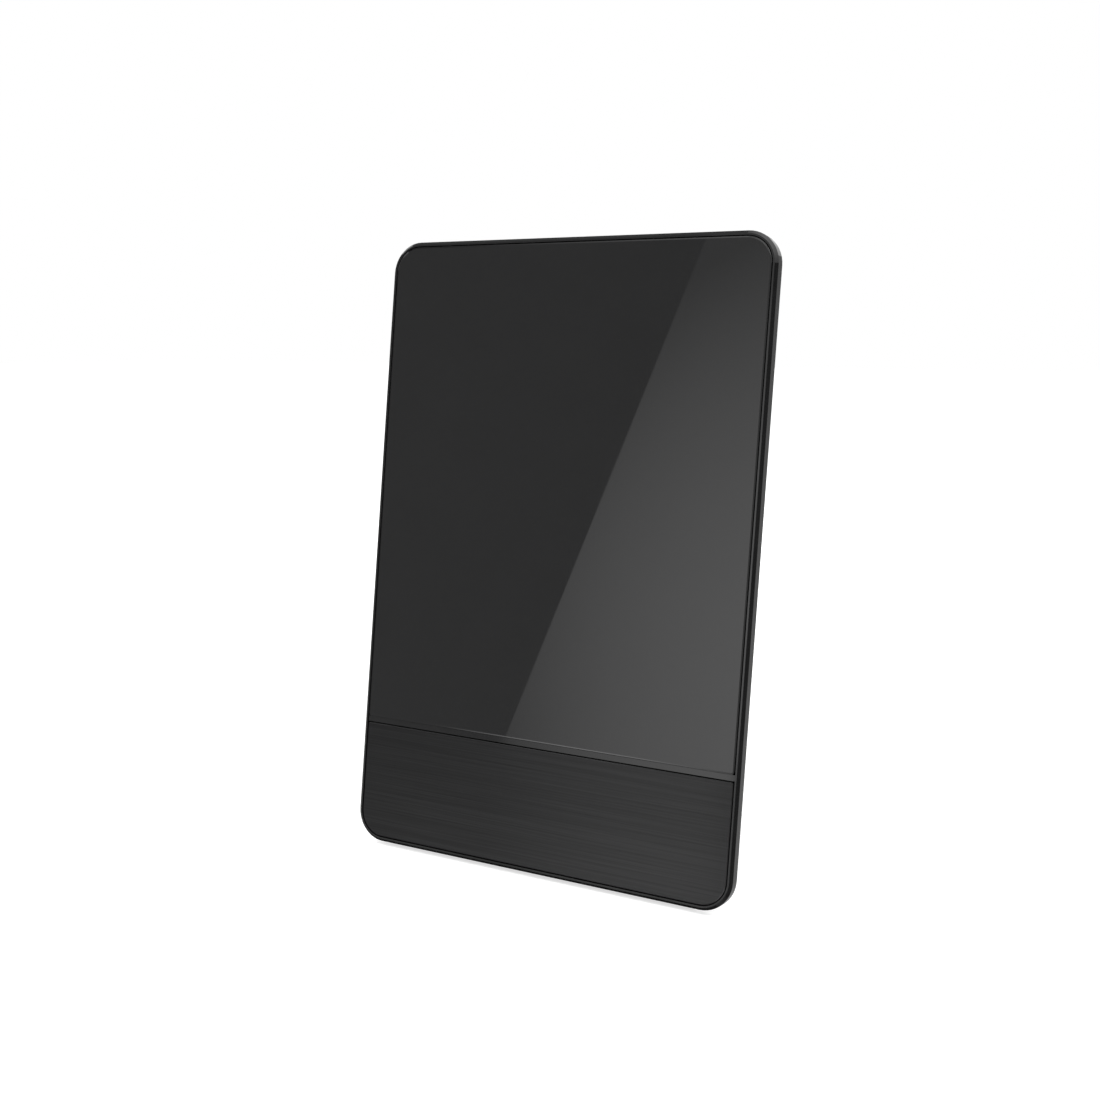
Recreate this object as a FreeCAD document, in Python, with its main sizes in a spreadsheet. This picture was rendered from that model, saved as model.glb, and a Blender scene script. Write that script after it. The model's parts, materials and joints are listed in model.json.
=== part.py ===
import FreeCAD, Part
import os
import re
import Sketcher
from FreeCAD import Placement, Rotation, Vector

# Indoor TV antenna: a slim slab with a dark glass face and a brushed trim panel, closed by a moulded
# rear cover and held leaning back by a fold-out easel leg.
#
# The slab is drawn upright, in its own frame: X to the right, Y from the front lip towards the back,
# Z up from the table line under the lip. Every piece of it then leans back about the foot strip, whose
# sole has its middle at the origin. The leg is drawn in a frame of its own, hanging from its hinge axis.

# Driving sizes in millimetres and degrees.
SIZES = {
    # Slab outline and rim.
    "body_width": 170.4,
    "body_height": 252.4,
    "corner_radius": 12.5,
    "rim_depth": 5.0,
    "rim_wall": 2.0,
    "edge_chamfer": 1.15,
    "lip_width": 0.65,
    "floor_thickness": 1.4,
    # Stance on the table.
    "lean_angle": 8.0,
    "foot_drop": 2.0,
    # Glass plate and its tape.
    "glass_thickness": 2.0,
    "glass_proud": 0.2,
    "glass_gap": 0.38,
    "glass_bevel": 0.6,
    "glass_bevel_drop": 0.2,
    "glass_low_radius": 1.2,
    "tape_thickness": 0.3,
    "tape_width": 9.0,
    "tape_inset": 1.5,
    # Brushed trim panel and the strip above it.
    "trim_height": 47.25,
    "trim_thickness": 1.2,
    "trim_gap": 0.5,
    "trim_bevel": 0.3,
    "trim_bevel_drop": 0.12,
    "trim_high_radius": 0.8,
    "divider_height": 2.3,
    "divider_recess": 0.1,
    "divider_end_gap": 0.45,
    "divider_seam": 0.05,
    # Rear cover moulding.
    "cover_depth": 13.5,
    "cover_wall": 1.8,
    "cover_step": 0.35,
    "flank_run": 8.0,
    "shoulder_run": 5.0,
    "shoulder_drop": 1.2,
    "shoulder_radius": 9.5,
    "back_radius": 7.0,
    "tongue_wall": 1.05,
    "tongue_height": 1.0,
    "tongue_gap": 0.1,
    # Foot rail and rubber strip.
    "rail_width": 140.0,
    "rail_rise": 12.0,
    "strip_margin": 4.0,
    "strip_wall": 0.8,
    "strip_sink": 0.9,
    # Easel leg and its hinge.
    "hinge_height": 125.0,
    "open_angle": 17.5,
    "leg_width": 40.0,
    "tip_width": 30.0,
    "leg_skin": 1.4,
    "leg_wall": 3.0,
    "rib_thickness": 1.6,
    "plate_thickness": 3.2,
    "barrel_radius": 1.9,
    "heel_height": 7.0,
    "leg_sink": 0.3,
    "leg_gap": 0.5,
    "end_gap": 0.8,
    "stop_clearance": 0.15,
    "tub_wall": 2.4,
    "pin_radius": 1.0,
    "pin_clearance": 0.05,
    "pin_seat_clearance": 0.02,
    "tip_height": 6.0,
    "tip_radius": 5.0,
    "tongue_reach": 3.0,
    "tongue_thickness": 1.4,
    "grip_margin": 4.0,
    "grip_pitch": 2.8,
    "grip_width": 1.2,
    "grip_depth": 0.5,
    # Hooks that close the housing above.
    "hook_length": 8.0,
    "hook_height": 0.6,
    "hook_reach": 0.5,
    "hook_gap": 0.1,
    "hook_spread": 70.0,
    "hook_side": 45.0,
    # Housing screws and their bosses.
    "screw_side": 19.0,
    "screw_margin": 26.0,
    "boss_radius": 3.4,
    "boss_gap": 2.55,
    "screw_radius": 1.25,
    "screw_head_radius": 2.6,
    "screw_head_height": 1.8,
    "screw_head_sink": 0.4,
    "screw_clearance": 0.15,
    "screw_bite": 1.8,
    "drive_width": 0.7,
    "drive_length": 2.8,
    "drive_depth": 0.9,
    # Keyholes for a wall screw.
    "keyhole_spacing": 90.0,
    "keyhole_drop": 48.0,
    "keyhole_radius": 4.2,
    "keyhole_slot_radius": 2.1,
    "keyhole_rise": 7.0,
    "keyhole_room": 3.2,
    "shroud_wall": 1.2,
    # Circuit board, its rests and its copper.
    "board_side": 29.0,
    "board_margin": 24.0,
    "board_radius": 3.0,
    "board_thickness": 1.0,
    "board_gap": 0.1,
    "rest_height": 1.25,
    "rest_width": 5.0,
    "rest_wall": 1.5,
    "rest_side": 6.0,
    "rest_low": 22.0,
    "rest_high": 8.0,
    "copper_thickness": 0.1,
    "copper_margin": 3.0,
    "uhf_height": 56.0,
    "uhf_neck": 5.0,
    "uhf_feed_gap": 8.0,
    "vhf_width": 4.0,
    "vhf_drop": 70.0,
    "vhf_turn": 12.0,
    "feed_width": 2.4,
    "feed_side": 30.0,
    # Balun and chip capacitors.
    "balun_length": 8.0,
    "balun_height": 7.0,
    "balun_thickness": 4.0,
    "balun_pitch": 3.4,
    "balun_hole_radius": 1.1,
    "winding_width": 1.4,
    "winding_overhang": 1.0,
    "chip_length": 2.0,
    "chip_width": 1.2,
    "chip_height": 0.8,
    "chip_pitch": 5.0,
    # Coaxial output socket.
    "socket_margin": 37.2,
    "socket_height": 36.0,
    "thread_radius": 4.76,
    "thread_reach": 10.5,
    "thread_lead": 0.6,
    "thread_relief": 0.4,
    "socket_clearance": 0.15,
    "flange_radius": 6.6,
    "flange_thickness": 2.0,
    "socket_bore_radius": 3.4,
    "contact_radius": 0.9,
    "contact_bore_radius": 0.5,
    "contact_bore_depth": 7.0,
    "contact_sink": 0.8,
    "washer_radius": 7.2,
    "washer_thickness": 0.6,
    "nut_flats": 12.7,
    "nut_thickness": 2.4,
}

# Sizes worked out from the driving ones.
DERIVED = {
    "body_high": "foot_drop + body_height",
    "body_middle": "foot_drop + body_height / 2",
    "opening_inset": "edge_chamfer + lip_width",
    "opening_width": "body_width - 2 * opening_inset",
    "opening_low": "foot_drop + opening_inset",
    "opening_high": "body_high - opening_inset",
    "opening_radius": "corner_radius - opening_inset",
    "pocket_depth": "tape_thickness + glass_thickness - glass_proud",
    "floor_back": "pocket_depth + floor_thickness",
    "boss_face": "floor_back + boss_gap",
    "trim_width": "opening_width - 2 * trim_gap",
    "trim_low": "opening_low + trim_gap",
    "trim_high": "trim_low + trim_height",
    "divider_low": "trim_high + trim_gap",
    "divider_high": "divider_low + divider_height",
    "glass_width": "opening_width - 2 * glass_gap",
    "glass_low": "divider_high + divider_seam",
    "glass_high": "opening_high - glass_gap",
    "glass_radius": "opening_radius - glass_gap",
    "trim_radius": "opening_radius - trim_gap",
    "tongue_inset": "rim_wall + tongue_gap",
    "cavity_inset": "tongue_inset + tongue_wall",
    "cavity_back": "cover_depth - cover_wall",
    "shoulder_depth": "cover_depth - shoulder_drop",
    "hook_front": "rim_depth - tongue_height",
    "back_inset": "flank_run + shoulder_run",
    "hinge_depth": "cover_depth - leg_sink - barrel_radius",
    "recess_floor": "hinge_depth - barrel_radius - stop_clearance",
    "strip_front": "rim_depth + strip_wall",
    "strip_back": "recess_floor - strip_wall",
    "strip_top": "foot_drop + cover_step + strip_sink",
    "strip_width": "rail_width - 2 * strip_margin",
    "stance_shift": "-(strip_front + strip_back) / 2 / cos(lean_angle)",
    "hinge_back": "stance_shift + hinge_height * sin(lean_angle) + hinge_depth * cos(lean_angle)",
    "hinge_rise": "hinge_height * cos(lean_angle) - hinge_depth * sin(lean_angle)",
    "leg_tilt": "open_angle - lean_angle",
    "plate_inner": "plate_thickness - barrel_radius",
    "plate_middle": "barrel_radius - plate_thickness / 2",
    "sole_outer": "(hinge_rise + barrel_radius * sin(leg_tilt)) / cos(leg_tilt)",
    "sole_inner": "(hinge_rise - plate_inner * sin(leg_tilt)) / cos(leg_tilt)",
    "tip_top": "sole_inner - tip_height",
    "leg_length": "sole_outer + heel_height",
    "leg_swing_depth": "2 * plate_thickness",
    "recess_top": "hinge_height + heel_height + end_gap",
    "recess_length": "leg_length + 2 * end_gap",
    "tub_top": "recess_top + tub_wall",
    "screw_across": "body_width / 2 - screw_side",
    "keyhole_low": "body_high - keyhole_drop",
    "keyhole_high": "keyhole_low + keyhole_rise",
    "keyhole_floor": "cavity_back - keyhole_room",
    "head_seat": "cover_depth - screw_head_sink - screw_head_height",
    "board_low": "foot_drop + board_margin",
    "board_high": "body_high - board_margin",
    "board_half": "body_width / 2 - board_side",
    "board_front": "floor_back + rest_height",
    "board_back": "board_front + board_thickness",
    "copper_back": "board_back + copper_thickness",
    "copper_half": "board_half - copper_margin",
    "uhf_middle": "(tub_top + board_high) / 2",
    "uhf_low": "uhf_middle - uhf_height / 2",
    "balun_low": "tub_top + copper_margin",
    "balun_high": "balun_low + balun_height",
    "balun_middle": "balun_low + balun_height / 2",
    "socket_side": "body_width / 2 - socket_margin",
    "thread_end": "cover_depth + thread_reach",
    "flange_front": "cavity_back - flange_thickness",
    "washer_back": "cover_depth + washer_thickness",
    "nut_back": "washer_back + nut_thickness",
    "root_radius": "thread_radius - thread_relief",
}

# How many of each repeated feature there are.
LEG_POCKETS = 3
GRIP_GROOVES = 4
CHIPS = 3
NUT_SIDES = 6

TOLERANCE = 0.01
PARTS_FOLDER = "parts"
SIDES = (-1, 1)

doc = FreeCAD.newDocument("indoor_antenna")
sheet = doc.addObject("Spreadsheet::Sheet", "Dims")
for row, (alias, value) in enumerate(SIZES.items(), start=1):
    sheet.set(f"A{row}", alias.replace("_", " "))
    sheet.set(f"B{row}", str(value))
    sheet.setAlias(f"B{row}", alias)
doc.recompute()

nodes = {}


# Sizes and expressions

def formula(text):
    """Turn plain names into the sheet's cells, and derived names into their own formulas."""
    def cell(match):
        name = match.group(0)
        if name in DERIVED:
            return "(" + formula(DERIVED[name]) + ")"
        if name in SIZES:
            return "Dims." + name
        return name
    return re.sub(r"[a-z][a-z_]*", cell, str(text))


def size(text):
    """Value of a formula, in millimetres or degrees."""
    return float(sheet.evalExpression(formula(text)))


def bind(feature, **formulas):
    for name, text in formulas.items():
        feature.setExpression(name, formula(text))


def place(feature, across="0", depth="0", height="0"):
    feature.setExpression("Placement.Base.x", formula(across))
    feature.setExpression("Placement.Base.y", formula(depth))
    feature.setExpression("Placement.Base.z", formula(height))


# Solids from primitives

def box(name, left, right, front, back, low, high):
    block = doc.addObject("Part::Box", name)
    bind(block, Length=f"({right}) - ({left})", Width=f"({back}) - ({front})", Height=f"({high}) - ({low})")
    place(block, left, front, low)
    return block


def rod(name, radius, front, back, across, height):
    """Cylinder along the depth, from front to back."""
    cylinder = doc.addObject("Part::Cylinder", name)
    bind(cylinder, Radius=radius, Height=f"({back}) - ({front})")
    cylinder.Placement = Placement(Vector(), Rotation(Vector(1, 0, 0), -90))
    place(cylinder, across, front, height)
    return cylinder


def axle(name, radius, half_length, depth, height):
    """Cylinder along the width, centred on the slab."""
    cylinder = doc.addObject("Part::Cylinder", name)
    bind(cylinder, Radius=radius, Height=f"2 * ({half_length})")
    cylinder.Placement = Placement(Vector(), Rotation(Vector(0, 1, 0), 90))
    place(cylinder, f"-({half_length})", depth, height)
    return cylinder


def taper(name, top_width, tip_width, length, front, back, top, across="0"):
    """Block that hangs from its top edge and narrows evenly to its tip."""
    wedge = doc.addObject("Part::Wedge", name)
    bind(wedge, Xmin=f"-({top_width}) / 2", Xmax=f"({top_width}) / 2")
    bind(wedge, X2min=f"-({tip_width}) / 2", X2max=f"({tip_width}) / 2")
    bind(wedge, Ymin="0", Ymax=length)
    bind(wedge, Zmin=front, Zmax=back, Z2min=front, Z2max=back)
    wedge.Placement = Placement(Vector(), Rotation(Vector(1, 0, 0), -90))
    place(wedge, across, "0", top)
    return wedge


def fuse(name, shapes):
    union = doc.addObject("Part::MultiFuse", name)
    union.Shapes = shapes
    return union


def cut(name, base, tool):
    difference = doc.addObject("Part::Cut", name)
    difference.Base = base
    difference.Tool = tool
    return difference


def common(name, base, tool):
    overlap = doc.addObject("Part::Common", name)
    overlap.Base = base
    overlap.Tool = tool
    return overlap


def group(name, shapes):
    compound = doc.addObject("Part::Compound", name)
    compound.Links = shapes
    return compound


# Solids from sketches

def new_body(name):
    return doc.addObject("PartDesign::Body", name)


def new_sketch(body, name, role):
    sketch = body.newObject("Sketcher::SketchObject", name)
    planes = [feature for feature in body.Origin.OriginFeatures if feature.Role == role]
    sketch.AttachmentSupport = [(planes[0], "")]
    sketch.MapMode = "FlatFace"
    return sketch


def front_sketch(body, name, depth):
    """Sketch seen from the front, at a depth behind the lip."""
    sketch = new_sketch(body, name, "XZ_Plane")
    sketch.setExpression("AttachmentOffset.Base.z", formula(f"-({depth})"))
    return sketch


def constrain(sketch, name, text, *constraint):
    """Add a sized constraint and tie it to the sheet."""
    index = sketch.addConstraint(Sketcher.Constraint(*constraint, size(text)))
    sketch.renameConstraint(index, name)
    sketch.setExpression("Constraints." + name, formula(text))


def arc(centre_x, centre_y, radius, start):
    """Quarter turn, anticlockwise from a start given in quarter turns."""
    quarter = FreeCAD.Units.Quantity("90 deg").getValueAs("rad").Value
    circle = Part.Circle(Vector(centre_x, centre_y, 0), Vector(0, 0, 1), radius)
    return Part.ArcOfCircle(circle, start * quarter, (start + 1) * quarter)


def line(start_x, start_y, end_x, end_y):
    return Part.LineSegment(Vector(start_x, start_y, 0), Vector(end_x, end_y, 0))


def outline(sketch, tag, width, low, high, low_radius, high_radius):
    """Rectangle centred on the vertical axis, with one radius below and one above."""
    half = size(width) / 2
    bottom = size(low)
    top = size(high)
    lower = size(low_radius)
    upper = size(high_radius)
    first = sketch.GeometryCount
    sketch.addGeometry([
        line(lower - half, bottom, half - lower, bottom),
        arc(half - lower, bottom + lower, lower, -1),
        line(half, bottom + lower, half, top - upper),
        arc(half - upper, top - upper, upper, 0),
        line(half - upper, top, upper - half, top),
        arc(upper - half, top - upper, upper, 1),
        line(-half, top - upper, -half, bottom + lower),
        arc(lower - half, bottom + lower, lower, 2),
    ], False)
    pieces = [first + step for step in range(8)]
    for piece, following in zip(pieces, pieces[1:] + pieces[:1]):
        sketch.addConstraint(Sketcher.Constraint("Tangent", piece, 2, following, 1))
    base, low_right, right, high_right, head, high_left, left, low_left = pieces
    sketch.addConstraint([
        Sketcher.Constraint("Horizontal", base),
        Sketcher.Constraint("Vertical", right),
        Sketcher.Constraint("Horizontal", head),
        Sketcher.Constraint("Vertical", left),
        Sketcher.Constraint("Equal", low_right, low_left),
        Sketcher.Constraint("Equal", high_right, high_left),
    ])
    constrain(sketch, tag + "_low_radius", low_radius, "Radius", low_right)
    constrain(sketch, tag + "_high_radius", high_radius, "Radius", high_right)
    constrain(sketch, tag + "_width", width, "DistanceX", left, 1, right, 2)
    constrain(sketch, tag + "_half", f"({width}) / 2", "DistanceX", left, 1, -1, 1)
    constrain(sketch, tag + "_low", low, "DistanceY", -1, 1, base, 1)
    constrain(sketch, tag + "_high", high, "DistanceY", -1, 1, head, 1)


def coordinate(sketch, name, text, kind, axis, element, point):
    """Tie one coordinate of a point to the sheet, measured from the sketch's origin."""
    if abs(size(text)) < TOLERANCE:
        sketch.addConstraint(Sketcher.Constraint("PointOnObject", element, point, axis))
    elif size(text) > 0:
        constrain(sketch, name, text, kind, -1, 1, element, point)
    else:
        constrain(sketch, name, f"-({text})", kind, element, point, -1, 1)


def polygon(sketch, tag, corners):
    """Closed run of straight lines through corners given as pairs of formulas."""
    spots = [(size(across), size(up)) for across, up in corners]
    first = sketch.GeometryCount
    edges = [line(*start, *end) for start, end in zip(spots, spots[1:] + spots[:1])]
    sketch.addGeometry(edges, False)
    count = len(corners)
    for step, (across, up) in enumerate(corners):
        element = first + step
        sketch.addConstraint(Sketcher.Constraint("Coincident", element, 2, first + (step + 1) % count, 1))
        coordinate(sketch, f"{tag}_across_{step}", across, "DistanceX", -2, element, 1)
        coordinate(sketch, f"{tag}_up_{step}", up, "DistanceY", -1, element, 1)


def circle(sketch, tag, across, up, radius):
    disc = Part.Circle(Vector(size(across), size(up), 0), Vector(0, 0, 1), size(radius))
    element = sketch.addGeometry(disc, False)
    constrain(sketch, tag + "_radius", radius, "Radius", element)
    coordinate(sketch, tag + "_across", across, "DistanceX", -2, element, 3)
    coordinate(sketch, tag + "_up", up, "DistanceY", -1, element, 3)


def circles(sketch, spots, radius):
    for step, (across, up) in enumerate(spots):
        circle(sketch, f"hole_{step}", across, up, radius)


def pad(body, name, sketch, length):
    """Solid from a front sketch towards the back."""
    feature = body.newObject("PartDesign::Pad", name)
    feature.Profile = sketch
    feature.Reversed = True
    bind(feature, Length=length)
    return feature


def pad_across(body, name, sketch, length):
    """Solid from a side sketch, half its length to each side."""
    feature = body.newObject("PartDesign::Pad", name)
    feature.Profile = sketch
    feature.SideType = "Symmetric"
    bind(feature, Length=length)
    return feature


def pocket(body, name, sketch, depth, from_behind=False):
    feature = body.newObject("PartDesign::Pocket", name)
    feature.Profile = sketch
    feature.Reversed = from_behind
    bind(feature, Length=depth)
    return feature


def edges_at_depth(feature, depth):
    """Names of the edges that lie in one plane parallel to the face."""
    doc.recompute()
    names = []
    for number, edge in enumerate(feature.Shape.Edges, start=1):
        span = edge.BoundBox
        if abs(span.YMin - depth) < TOLERANCE and abs(span.YMax - depth) < TOLERANCE:
            names.append(f"Edge{number}")
    return names


def chamfer(body, name, feature, depth, run, drop):
    """Bevel all edges of a feature that lie at one depth, by a run in the face and a drop behind it."""
    dressed = body.newObject("PartDesign::Chamfer", name)
    dressed.Base = (feature, edges_at_depth(feature, size(depth)))
    dressed.ChamferType = "Two distances"
    bind(dressed, Size=drop, Size2=run)


# Where the pieces stand

def lean(label, feature):
    """Hand in a piece of the slab: it leans back about the foot strip."""
    feature.Label = label
    feature.Placement = Placement(Vector(), Rotation(Vector(-1, 0, 0), size("lean_angle")))
    feature.setExpression("Placement.Rotation.Angle", formula("lean_angle"))
    feature.setExpression("Placement.Base.y", formula("stance_shift"))
    nodes[label] = feature


def hang(label, feature):
    """Hand in a piece of the easel leg: it hangs from the hinge axis, opened to its stop."""
    feature.Label = label
    feature.Placement = Placement(Vector(), Rotation(Vector(1, 0, 0), size("leg_tilt")))
    feature.setExpression("Placement.Rotation.Angle", formula("leg_tilt"))
    feature.setExpression("Placement.Base.y", formula("hinge_back"))
    feature.setExpression("Placement.Base.z", formula("hinge_rise"))
    nodes[label] = feature


SCREW_SPOTS = [(across, "foot_drop + screw_margin") for across in ("-(screw_across)", "screw_across")]
REST_SPOTS = [
    (side, across, height)
    for side, across in zip(SIDES, ("-(board_half - rest_side)", "board_half - rest_side"))
    for height in ("board_low + rest_low", "board_high - rest_high")
]


# Front face

def hook_blocks(name, length, reach, front, back):
    """Blocks that stand out from the cover's tongue: two on each side and two on top."""
    root = "body_width / 2 - cavity_inset"
    tip = f"body_width / 2 - tongue_inset + {reach}"
    top = "body_high - cavity_inset"
    crown = f"body_high - tongue_inset + {reach}"
    blocks = []
    for step in SIDES:
        middle = f"body_middle + {step} * hook_spread"
        low = f"{middle} - ({length}) / 2"
        high = f"{middle} + ({length}) / 2"
        blocks.append(box(f"{name}_left_{step + 1}", f"-({tip})", f"-({root})", front, back, low, high))
        blocks.append(box(f"{name}_right_{step + 1}", root, tip, front, back, low, high))
        centre = f"{step} * hook_side"
        left = f"{centre} - ({length}) / 2"
        right = f"{centre} + ({length}) / 2"
        blocks.append(box(f"{name}_top_{step + 1}", left, right, front, back, top, crown))
    return blocks


def board_rests():
    """Pads under the board, each with a low wall beside the board's edge."""
    rests = []
    for step, (side, across, height) in enumerate(REST_SPOTS):
        low = f"{height} - rest_width / 2"
        high = f"{height} + rest_width / 2"
        inner = f"{across} - {side} * rest_width / 2"
        edge = f"{side} * (board_half + board_gap)"
        outer = f"{side} * (board_half + board_gap + rest_wall)"
        pad_span = sorted((inner, outer), key=size)
        wall_span = sorted((edge, outer), key=size)
        rests.append(box(f"rest_pad_{step}", *pad_span, "floor_back", "board_front", low, high))
        rests.append(box(f"rest_wall_{step}", *wall_span, "floor_back", "board_back", low, high))
    for tag, across in zip(("left", "right"), ("-(board_half - rest_side)", "board_half - rest_side")):
        left = f"{across} - rest_width / 2"
        right = f"{across} + rest_width / 2"
        rests.append(box(f"{tag}_low_stop", left, right, "floor_back", "board_back",
                         "board_low - board_gap - rest_wall", "board_low - board_gap"))
        rests.append(box(f"{tag}_high_stop", left, right, "floor_back", "board_back",
                         "board_high + board_gap", "board_high + board_gap + rest_wall"))
    return rests


def make_front_bezel():
    """Frame, floor, screw bosses, board rests and the windows for the cover's hooks in one moulding."""
    body = new_body("front_bezel_body")
    rim = front_sketch(body, "rim_outline", "0")
    outline(rim, "rim", "body_width", "foot_drop", "body_high", "corner_radius", "corner_radius")
    slab = pad(body, "rim_pad", rim, "rim_depth")
    chamfer(body, "rim_chamfer", slab, "0", "edge_chamfer", "edge_chamfer")
    opening = front_sketch(body, "opening_outline", "0")
    outline(opening, "opening", "opening_width", "opening_low", "opening_high",
            "opening_radius", "opening_radius")
    pocket(body, "opening_pocket", opening, "pocket_depth")
    hollow = front_sketch(body, "hollow_outline", "rim_depth")
    outline(hollow, "hollow", "body_width - 2 * rim_wall", "foot_drop + rim_wall", "body_high - rim_wall",
            "corner_radius - rim_wall", "corner_radius - rim_wall")
    pocket(body, "hollow_pocket", hollow, "rim_depth - floor_back", from_behind=True)
    bosses = front_sketch(body, "boss_circles", "floor_back")
    circles(bosses, SCREW_SPOTS, "boss_radius")
    pad(body, "boss_pad", bosses, "boss_gap")
    pilots = front_sketch(body, "pilot_circles", "boss_face")
    circles(pilots, SCREW_SPOTS, "screw_radius + pin_seat_clearance")
    pocket(body, "pilot_pocket", pilots, "screw_bite + end_gap / 2", from_behind=True)
    windows = hook_blocks("window", "hook_length + 2 * hook_gap", "hook_reach + hook_gap",
                          "hook_front - hook_gap", "hook_front + hook_height + hook_gap")
    moulding = fuse("bezel_moulding", [body] + board_rests())
    lean("front_bezel", cut("bezel_cut", moulding, fuse("hook_windows", windows)))


def make_glass_panel():
    body = new_body("glass_panel_body")
    sketch = front_sketch(body, "glass_outline", "-glass_proud")
    outline(sketch, "glass", "glass_width", "glass_low", "glass_high", "glass_low_radius", "glass_radius")
    plate = pad(body, "glass_pad", sketch, "glass_thickness")
    chamfer(body, "glass_chamfer", plate, "-glass_proud", "glass_bevel", "glass_bevel_drop")
    lean("glass_panel", body)


def make_brushed_panel():
    body = new_body("brushed_panel_body")
    sketch = front_sketch(body, "trim_outline", "0")
    outline(sketch, "trim", "trim_width", "trim_low", "trim_high", "trim_radius", "trim_high_radius")
    plate = pad(body, "trim_pad", sketch, "trim_thickness")
    chamfer(body, "trim_chamfer", plate, "0", "trim_bevel", "trim_bevel_drop")
    lean("brushed_panel", body)


def make_tape(label, width, low, high, low_radius, high_radius, front):
    """Ring of adhesive between a front plate and the bezel's floor."""
    body = new_body(label + "_body")
    sketch = front_sketch(body, label + "_ring", front)
    for tag, inset in (("outer", "tape_inset"), ("inner", "(tape_inset + tape_width)")):
        outline(sketch, tag, f"{width} - 2 * {inset}", f"{low} + {inset}", f"{high} - {inset}",
                low_radius, high_radius)
    pad(body, label + "_pad", sketch, f"pocket_depth - ({front})")
    lean(label, body)


def make_divider_strip():
    """Strip pushed against the right end of the opening, with its gap at the left."""
    strip = box("divider_block", "divider_end_gap - opening_width / 2", "opening_width / 2",
                "divider_recess", "pocket_depth", "divider_low", "divider_high")
    lean("divider_strip", group("divider_group", [strip]))


# Rear cover

def cover_loft(name, sections):
    """Dished form through rounded outlines, each given by its depth, inset and corner radius."""
    body = new_body(name)
    sketches = []
    for step, (depth, inset, radius) in enumerate(sections):
        sketch = front_sketch(body, f"{name}_section_{step}", depth)
        outline(sketch, "section", f"body_width - 2 * ({inset})", f"foot_drop + {inset}",
                f"body_high - ({inset})", radius, radius)
        sketches.append(sketch)
    dish = body.newObject("PartDesign::AdditiveLoft", name + "_loft")
    dish.Profile = sketches[0]
    dish.Sections = sketches[1:]
    dish.Ruled = True
    return body


def make_cover_tongue():
    """Ring that enters the bezel and keeps the two shells in line."""
    body = new_body("cover_tongue")
    sketch = front_sketch(body, "tongue_ring", "rim_depth - tongue_height")
    for tag, inset in (("outer", "tongue_inset"), ("inner", "cavity_inset")):
        outline(sketch, tag, f"body_width - 2 * {inset}", f"foot_drop + {inset}", f"body_high - {inset}",
                f"corner_radius - {inset}", f"corner_radius - {inset}")
    pad(body, "tongue_pad", sketch, "tongue_height")
    return body


def recess_block(name, grow, front, back):
    """Form of the leg's recess, grown on its sides and top."""
    return taper(name, f"leg_width + 2 * (leg_gap + {grow})", f"tip_width + 2 * (leg_gap + {grow})",
                 f"recess_length + {grow}", front, back, f"recess_top + {grow}")


def upright_slot(name, radius, front, back, across):
    """Round-ended slot as tall as a keyhole's rise."""
    return fuse(name, [
        rod(name + "_low", radius, front, back, across, "keyhole_low"),
        box(name + "_middle", f"{across} - ({radius})", f"{across} + {radius}", front, back,
            "keyhole_low", "keyhole_high"),
        rod(name + "_high", radius, front, back, across, "keyhole_high"),
    ])


def keyhole_cuts(name, across):
    """Round entry for a screw head, a slot above it for the shank, and room for the head behind both."""
    return [
        rod(name + "_entry", "keyhole_radius", "cavity_back", "cover_depth", across, "keyhole_low"),
        upright_slot(name + "_slot", "keyhole_slot_radius", "cavity_back", "cover_depth", across),
        upright_slot(name + "_room", "keyhole_radius", "keyhole_floor", "cavity_back", across),
    ]


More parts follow.
